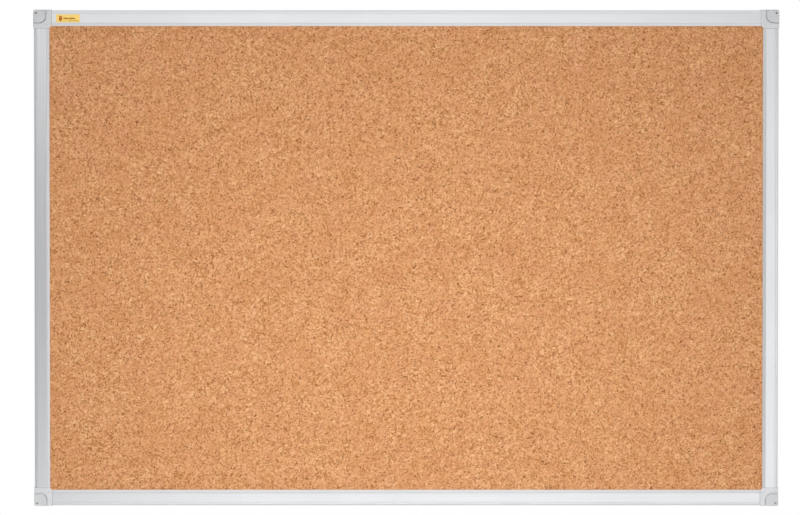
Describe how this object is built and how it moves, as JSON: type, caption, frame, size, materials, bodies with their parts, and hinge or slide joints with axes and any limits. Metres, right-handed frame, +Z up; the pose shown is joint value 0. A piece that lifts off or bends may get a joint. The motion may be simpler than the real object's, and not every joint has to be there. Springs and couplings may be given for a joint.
{
  "type": "cork bulletin board",
  "caption": "Rectangular cork pin board in a slim aluminium frame, with plastic corner blocks whose swivel covers hide the wall screws.",
  "frame": {"origin": "centre of the four wall-screw holes, on the wall plane", "axes": "+X to the viewer's right along the board's width, -Y out of the cork toward the viewer, +Z up"},
  "size_m": [0.9, 0.0206, 0.6],
  "materials": {
    "cork": "matte cork granules",
    "fibre_core": "raw soft fibreboard",
    "hardboard": "matte pressed fibre",
    "anodised_aluminium": "satin anodised",
    "block_plastic": "fine texture",
    "cover_plastic": "fine texture",
    "screw_steel": "zinc plated",
    "sticker": "printed, semi-gloss"
  },
  "bodies": {
    "board": {"cork_sheet": "cork", "core_board": "fibre_core", "backing_board": "hardboard", "frame_rail_bottom": "anodised_aluminium", "frame_rail_left": "anodised_aluminium", "frame_rail_top": "anodised_aluminium", "frame_rail_right": "anodised_aluminium", "corner_block_bottom_left": "block_plastic", "rail_screws_bottom_left": "screw_steel", "corner_block_top_left": "block_plastic", "rail_screws_top_left": "screw_steel", "corner_block_top_right": "block_plastic", "rail_screws_top_right": "screw_steel", "corner_block_bottom_right": "block_plastic", "rail_screws_bottom_right": "screw_steel", "label_sticker": "sticker"},
    "cover_bottom_left": {"corner_cover_bottom_left": "cover_plastic"},
    "cover_top_left": {"corner_cover_top_left": "cover_plastic"},
    "cover_top_right": {"corner_cover_top_right": "cover_plastic"},
    "cover_bottom_right": {"corner_cover_bottom_right": "cover_plastic"}
  },
  "joints": [
    {"name": "cover_bottom_left_swivel", "type": "hinge", "parent": "board", "child": "cover_bottom_left", "pos_m": [-0.4467, -0.0193, -0.2967], "axis": [0, -1, 0], "range_deg": [0, 180]},
    {"name": "cover_top_left_swivel", "type": "hinge", "parent": "board", "child": "cover_top_left", "pos_m": [-0.4467, -0.0193, 0.2967], "axis": [0, -1, 0], "range_deg": [0, 180]},
    {"name": "cover_top_right_swivel", "type": "hinge", "parent": "board", "child": "cover_top_right", "pos_m": [0.4467, -0.0193, 0.2967], "axis": [0, -1, 0], "range_deg": [0, 180]},
    {"name": "cover_bottom_right_swivel", "type": "hinge", "parent": "board", "child": "cover_bottom_right", "pos_m": [0.4467, -0.0193, -0.2967], "axis": [0, -1, 0], "range_deg": [0, 180]}
  ]
}
